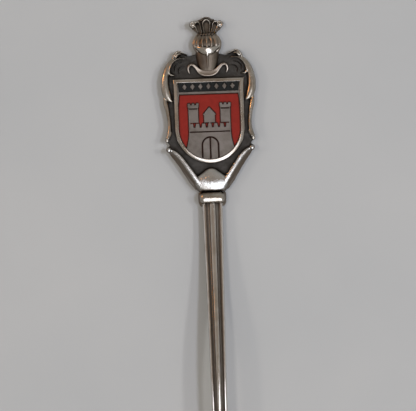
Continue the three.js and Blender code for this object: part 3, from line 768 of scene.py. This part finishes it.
bar(calyx, seated([
    (0, -8.5, 0.3, 0.8), (0, -8.7, 0.9, 1.1), (0, -9.2, 1.6, 1.32), (0, -9.7, 2.3, 1.45),
    (0, -10.1, 2.75, 1.52),
    (0, -10.7, 3.15, 1.58), (0, -11.3, 3.1, 1.56), (0, -11.9, 2.8, 1.42), (0, -12.3, 2.5, 1.22),
    (0, -12.6, 2.25, 0.92), (0, -12.74, 2.0, 0.6),
]), sides=40, squareness=0.45)
piece("calyx_casting", cast(calyx, 0.08, 6), calyx_silver, "silver_plate", "calyx")

# %% [markdown]
# ## The collar
#
# The collar is a small pillow-shaped block: a cube with its upright corners rounded and then its upper
# edges, so widely that they nearly meet, and melted like the castings to take the last edges off. The
# low foot between it and the stem is a piece of its own, dark with painted shade.

# %% Collar
collar_low, collar_high = ((corner - FINIAL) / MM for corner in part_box("collar"))
collar = bmesh.new()


def block(bm, low, high, corner, edge):
    """A cube from low to high, with rounded upright corners and rounded upper edges."""
    made = bmesh.ops.create_cube(bm, size=1)["verts"]
    bmesh.ops.scale(bm, vec=high - low, verts=made)
    bmesh.ops.translate(bm, vec=(low + high) / 2, verts=made)
    edges = {e for v in made for e in v.link_edges}
    upright = [e for e in edges if abs(e.verts[0].co.z - e.verts[1].co.z) > 1e-4]
    rounded = bmesh.ops.bevel(
        bm, geom=upright, offset=corner, segments=5, profile=0.5, affect="EDGES", material=-1
    )
    top = [
        e for v in {v for f in rounded["faces"] for v in f.verts} | {v for v in made if v.is_valid}
        for e in v.link_edges if all(abs(v.co.z - high.z) < 1e-4 for v in e.verts)
    ]
    bmesh.ops.bevel(
        bm, geom=list(set(top)), offset=edge, segments=5, profile=0.5, affect="EDGES", material=-1
    )


block(collar, collar_low, collar_high, 0.8, 0.46 * (collar_high.y - collar_low.y))
piece("collar_block", cast(collar, 0.07, 2), collar_silver, "silver_plate", "collar")

foot = bmesh.new()
bar(foot, [
    (0, -12.75, 0.5, 2.42, 1.2), (0, -13.5, 0.5, 2.48, 1.2), (0, -14.4, 0.5, 2.44, 1.15),
    (0, -14.95, 0.5, 2.3, 1.1),
    (0, -15.3, 0.5, 2.0, 0.9),
], sides=24, squareness=0.5)
piece("collar_foot", cast(foot, 0.07, 3), shade_dark_silver, "silver_plate")

# %% [markdown]
# ## The stem
#
# The stem's section has a broad rib between two flutes and a narrow rib on each edge. It is swept along the
# arch from the collar to a tail under the bowl, and narrows as it goes.

# %% Stem
stem_low, stem_high = (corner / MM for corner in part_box("stem"))
STEM_RIGHT = [
    (0, 1.0), (0.16, 0.985), (0.25, 0.9), (0.3, 0.7), (0.36, 0.5), (0.48, 0.42), (0.6, 0.5), (0.66, 0.66),
    (0.74, 0.78), (0.84, 0.77), (0.94, 0.6), (1.0, 0.25), (0.98, -0.2), (0.85, -0.6), (0.55, -0.88),
    (0.25, -0.98),
]
STEM_LINE = [
    (26.24, 1.35, 1.78, 1.05), (19, 1.75, 1.68, 1.05), (11, 2.95, 1.54, 1.05), (3, 4.35, 1.44, 1.03),
    (-5, 5.05, 1.36, 1.0), (-13, 4.95, 1.3, 1.0), (-18.5, 4.8, 1.36, 1.0), (-22, 4.35, 1.7, 0.95),
    (-25.5, 3.0, 1.5, 0.8), (-29, 1.55, 1.0, 0.55), (-33, 0.65, 0.45, 0.32),
]
stem = bmesh.new()
section = [*STEM_RIGHT, (0, -1.0), *((-x, y) for x, y in reversed(STEM_RIGHT[1:]))]
profile = stem.faces.new([stem.verts.new((x, y, 0)) for x, y in section])
sweep(stem, profile, placing(through([(0, y, z, half, thick) for y, z, half, thick in STEM_LINE], 8)))
piece("fluted_stem", stem, stem_silver, "silver_plate", "stem", origin=Vector())

# %% [markdown]
# ## The bowl
#
# The bowl is spun: a curved line turned full circle about the middle gives a round dish. Its points are
# then moved into the egg-shaped plan, with the rim a little higher at both ends, and the sheet is
# given its thickness. The rim's edges are bevelled, so that it would feel smooth to a lip.

# %% Bowl
bowl_low, bowl_high = (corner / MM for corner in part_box("bowl"))
BOWL_HALF = (bowl_high.y - bowl_low.y) / 2
BOWL_Y = (bowl_high.y + bowl_low.y) / 2
BOWL_WIDTH, BOWL_RIM, BOWL_LIFT, BOWL_WALL, BOWL_EGG = 12.2, 5.95, 0.4, 0.8, 0.14
bowl = bmesh.new()
line = [
    bowl.verts.new((math.sin(math.radians(a)), 0, 1 - math.cos(math.radians(a)) ** 1.5))
    for a in range(0, 91, 3)
]
path = [bowl.edges.new(ends) for ends in zip(line, line[1:])]
bmesh.ops.spin(
    bowl, geom=[*line, *path], cent=(0, 0, 0), axis=(0, 0, 1), angle=math.tau, steps=96, use_merge=True
)
bmesh.ops.remove_doubles(bowl, verts=bowl.verts, dist=1e-5)
for vert in bowl.verts:
    x, y, z = vert.co
    vert.co = (x * BOWL_WIDTH * (1 + BOWL_EGG * y), BOWL_Y + y * BOWL_HALF, z * BOWL_RIM + BOWL_LIFT * y * y)
bmesh.ops.recalc_face_normals(bowl, faces=bowl.faces)
print("outer face points down:", sum(f.normal.z for f in bowl.faces) < 0)
if sum(f.normal.z for f in bowl.faces) > 0:
    bmesh.ops.reverse_faces(bowl, faces=bowl.faces)
bmesh.ops.solidify(bowl, geom=bowl.faces, thickness=BOWL_WALL)
lip = [e for e in bowl.edges if e.calc_face_angle(0) > math.radians(50)]
bmesh.ops.bevel(bowl, geom=lip, offset=0.24, segments=3, profile=0.5, affect="EDGES", material=-1)
piece("polished_bowl", bowl, bowl_silver, "silver_plate", "bowl", origin=Vector(), sharp=60)

# %% [markdown]
# ## Camera
#
# The spoon is seen from straight above, with the finial near the top of the frame and the stem running
# out at the bottom. It lies two degrees off square, so the camera is turned by that much.

# %% Camera
VIEW_WIDTH = 72.8  # millimetres across the frame, at the finial's face
FACE_HEIGHT = 2.0
EYE = 280.0
SENSOR = 36.0
scene = bpy.context.scene
camera = bpy.data.objects.new("camera", bpy.data.cameras.new("camera"))
camera.data.sensor_width = SENSOR
camera.data.lens = SENSOR * (EYE - FACE_HEIGHT) / VIEW_WIDTH
camera.location = FINIAL + Vector((-0.8, -15.1, EYE)) * MM
camera.rotation_euler = (0, 0, math.radians(-2.0))
scene.collection.objects.link(camera)
scene.camera = camera
print(f"lens {camera.data.lens:.0f} mm")

# %% [markdown]
# ## Floor and light
#
# The floor is a pale matt sheet, mottled so faintly that it only looks less than perfectly even. Silver
# shows its surroundings, so the lights are of two kinds. A big cool window towards the bowl's end and a
# small warm lamp low at the left show only as reflections. Two pairs of lamps, at the right and at the
# left, show in no reflection. They light the sheet and throw shadows that fall in two steps on each
# side. The room is grey, and brownish overhead.

# %% Floor
paper, paper_tree, paper_shader = fresh_material("pale_sheet")
paper_where = add(paper_tree, "TexCoord").outputs["Object"]
mottle = add(paper_tree, "TexNoise", {"Vector": paper_where, "Scale": 30.0, "Detail": 3.0}).outputs["Fac"]
grey = ramp(paper_tree, mottle, [(0.3, "#BFC0C0"), (0.7, "#C5C5C4")])
paper_tree.links.new(grey, paper_shader.inputs["Base Color"])
paper_shader.inputs["Roughness"].default_value = 0.75
sheet = bmesh.new()
bmesh.ops.create_grid(sheet, x_segments=1, y_segments=1, size=3.0)
sheet_mesh = bpy.data.meshes.new("sheet")
sheet.to_mesh(sheet_mesh)
sheet.free()
sheet_mesh.materials.append(paper)
floor = bpy.data.objects.new("sheet", sheet_mesh)
scene.collection.objects.link(floor)

# %% Lights
def softbox(name, azimuth, tilt, size, radiance, colour, shows):
    """A soft light a metre away. azimuth is from +Y clockwise, tilt is from straight up, in degrees.
    shows says where it shows: as a reflection in gloss, or as light on matt things."""
    lamp = bpy.data.lights.new(name, "AREA")
    lamp.shape = "RECTANGLE"
    lamp.size, lamp.size_y = size
    lamp.energy = radiance * math.pi * size[0] * size[1]
    lamp.color = linear(colour)[:3]
    made = bpy.data.objects.new(name, lamp)
    a, t = math.radians(azimuth), math.radians(tilt)
    away = Vector((math.sin(a) * math.sin(t), math.cos(a) * math.sin(t), math.cos(t)))
    made.location = FINIAL + away
    made.rotation_euler = away.to_track_quat("Z", "Y").to_euler()
    made.visible_camera = False
    made.visible_glossy = shows == "gloss"
    made.visible_diffuse = shows == "matt"
    scene.collection.objects.link(made)


softbox("window", 165, 38.5, (0.7, 1.18), 2.7, "#EEF3FF", shows="gloss")
softbox("warm_lamp", 292, 62, (0.12, 0.24), 16.0, "#FFA850", shows="gloss")
softbox("right_high_lamp", 88, 24, (0.3, 0.1), 28.0, "#E6EDFF", shows="matt")
softbox("right_low_lamp", 85, 42, (0.3, 0.08), 22.0, "#FFFFFF", shows="matt")
softbox("left_high_lamp", 272, 18, (0.3, 0.1), 16.0, "#FFF8EE", shows="matt")
softbox("left_low_lamp", 272, 48, (0.3, 0.12), 8.0, "#FFF4E6", shows="matt")

world = bpy.data.worlds.new("room")
scene.world = world
world.use_nodes = True
room = world.node_tree
background = room.nodes["Background"]
direction = add(room, "TexCoord").outputs["Generated"]
height = add(room, "SeparateXYZ", {0: direction}).outputs["Z"]
shade = ramp(room, height, [(0.0, "#888886"), (0.6, "#989896"), (0.9, "#928C85"), (1.0, "#807367")])
is_camera = add(room, "LightPath").outputs["Is Camera Ray"]
seen = add(room, "Mix", {0: is_camera, 6: shade, 7: linear("#C4C6C8")}, data_type="RGBA").outputs[2]
room.links.new(seen, background.inputs["Color"])
background.inputs["Strength"].default_value = 1.0
scene.view_settings.view_transform = "Standard"
scene.view_settings.look = "None"
